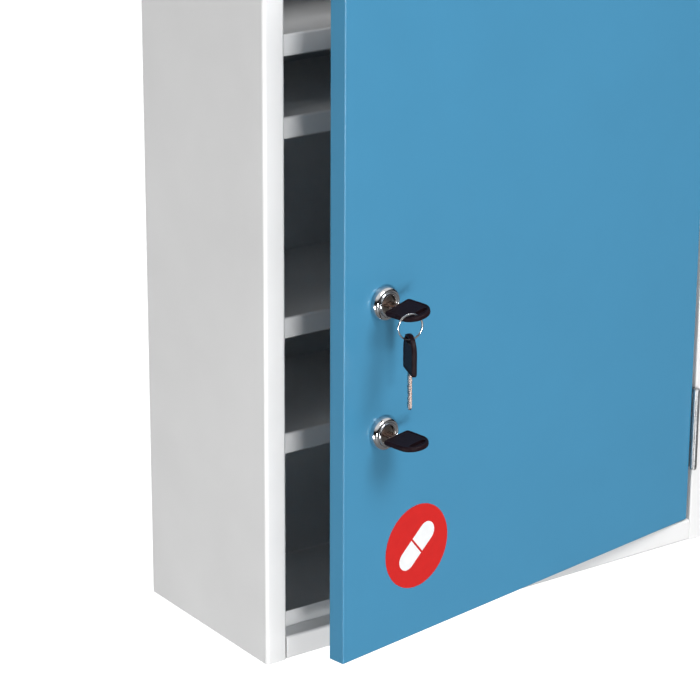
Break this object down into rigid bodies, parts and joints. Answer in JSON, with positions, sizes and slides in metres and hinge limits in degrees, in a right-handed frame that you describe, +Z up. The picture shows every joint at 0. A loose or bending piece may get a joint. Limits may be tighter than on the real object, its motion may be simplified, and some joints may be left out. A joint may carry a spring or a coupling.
{
  "type": "wall-mounted medicine cabinet",
  "caption": "Wall-mounted steel medicine cabinet with adjustable shelves and an inset hinged door shut by keyed cam locks, keys and a key ring in place.",
  "frame": {"origin": "middle of the back, on the wall plane", "axes": "+X to the right seen from the front, +Y into the wall, +Z up"},
  "size_m": [0.4064, 0.2525, 0.5334],
  "materials": {
    "powder_white": "satin white powder coat",
    "powder_grey": "satin grey powder coat",
    "powder_blue": "satin blue powder coat",
    "zinc_steel": "zinc plated",
    "lock_chrome": "polished chrome",
    "lock_plug": "satin",
    "key_steel": "nickel plated",
    "ring_steel": "polished",
    "key_black": "satin black moulded plastic",
    "label_red": "printed label, satin",
    "label_white": "printed label, satin"
  },
  "bodies": {
    "cabinet": {"side_left": "powder_white", "side_right": "powder_white", "bottom_panel": "powder_white", "top_panel": "powder_white", "back_panel": "powder_white", "standard_left_front": "powder_grey", "standard_left_back": "powder_grey", "standard_right_front": "powder_grey", "standard_right_back": "powder_grey", "shelf_1": "powder_white", "shelf_2": "powder_white", "shelf_3": "powder_white", "shelf_4": "powder_white", "clip_1_left_front": "zinc_steel", "clip_1_left_back": "zinc_steel", "clip_1_right_front": "zinc_steel", "clip_1_right_back": "zinc_steel", "clip_2_left_front": "zinc_steel", "clip_2_left_back": "zinc_steel", "clip_2_right_front": "zinc_steel", "clip_2_right_back": "zinc_steel", "clip_3_left_front": "zinc_steel", "clip_3_left_back": "zinc_steel", "clip_3_right_front": "zinc_steel", "clip_3_right_back": "zinc_steel", "clip_4_left_front": "zinc_steel", "clip_4_left_back": "zinc_steel", "clip_4_right_front": "zinc_steel", "clip_4_right_back": "zinc_steel", "hinge_lower_body_leaf": "zinc_steel", "hinge_upper_body_leaf": "zinc_steel", "hinge_lower_pin": "zinc_steel", "hinge_upper_pin": "zinc_steel"},
    "door": {"door_pan": "powder_blue", "door_stiffener": "powder_blue", "label_disc": "label_red", "label_pill_lower": "label_white", "label_pill_upper": "label_white", "hinge_lower_door_leaf": "zinc_steel", "hinge_upper_door_leaf": "zinc_steel", "lock_upper_housing": "lock_chrome", "lock_upper_nut": "zinc_steel", "lock_lower_housing": "lock_chrome", "lock_lower_nut": "zinc_steel"},
    "plug_upper": {"lock_upper_plug": "lock_plug", "lock_upper_cam": "zinc_steel", "lock_upper_cam_screw": "zinc_steel"},
    "key_upper": {"lock_upper_key_bow": "key_black", "lock_upper_key_blade": "key_steel"},
    "plug_lower": {"lock_lower_plug": "lock_plug", "lock_lower_cam": "zinc_steel", "lock_lower_cam_screw": "zinc_steel"},
    "key_lower": {"lock_lower_key_bow": "key_black", "lock_lower_key_blade": "key_steel"},
    "ring": {"key_ring": "ring_steel"},
    "spare": {"spare_key_bow": "key_black", "spare_key_blade": "key_steel"}
  },
  "joints": [
    {"name": "door_swing", "type": "hinge", "parent": "cabinet", "child": "door", "pos_m": [0.1853, -0.1553, 0], "axis": [0, 0, 1], "range_deg": [-9.45, 160]},
    {"name": "lock_upper_turn", "type": "hinge", "parent": "door", "child": "plug_upper", "pos_m": [-0.14533, -0.20739, 0.0049], "axis": [0.1642, -0.9864, 0], "range_deg": [-11, 79]},
    {"name": "lock_lower_turn", "type": "hinge", "parent": "door", "child": "plug_lower", "pos_m": [-0.14533, -0.20739, -0.0873], "axis": [0.1642, -0.9864, 0], "range_deg": [-5, 85]},
    {"name": "key_upper_pull", "type": "slide", "parent": "plug_upper", "child": "key_upper", "axis": [0.1642, -0.9864, 0], "range_m": [0, 0.02]},
    {"name": "key_lower_pull", "type": "slide", "parent": "plug_lower", "child": "key_lower", "axis": [0.1642, -0.9864, 0], "range_m": [0, 0.02]},
    {"name": "ring_hang", "type": "hinge", "parent": "key_upper", "child": "ring", "pos_m": [-0.14791, -0.24138, 0.00332], "axis": [0.1642, -0.9864, 0], "range_deg": [-79, 11]},
    {"name": "spare_key_swing", "type": "hinge", "parent": "ring", "child": "spare", "pos_m": [-0.14791, -0.24138, -0.01068], "axis": [0.9833, -0.1822, 0], "range_deg": [-25, 25]}
  ],
  "couplings": [
    {"joint": "ring_hang", "follows": "lock_upper_turn", "ratio": -1}
  ]
}
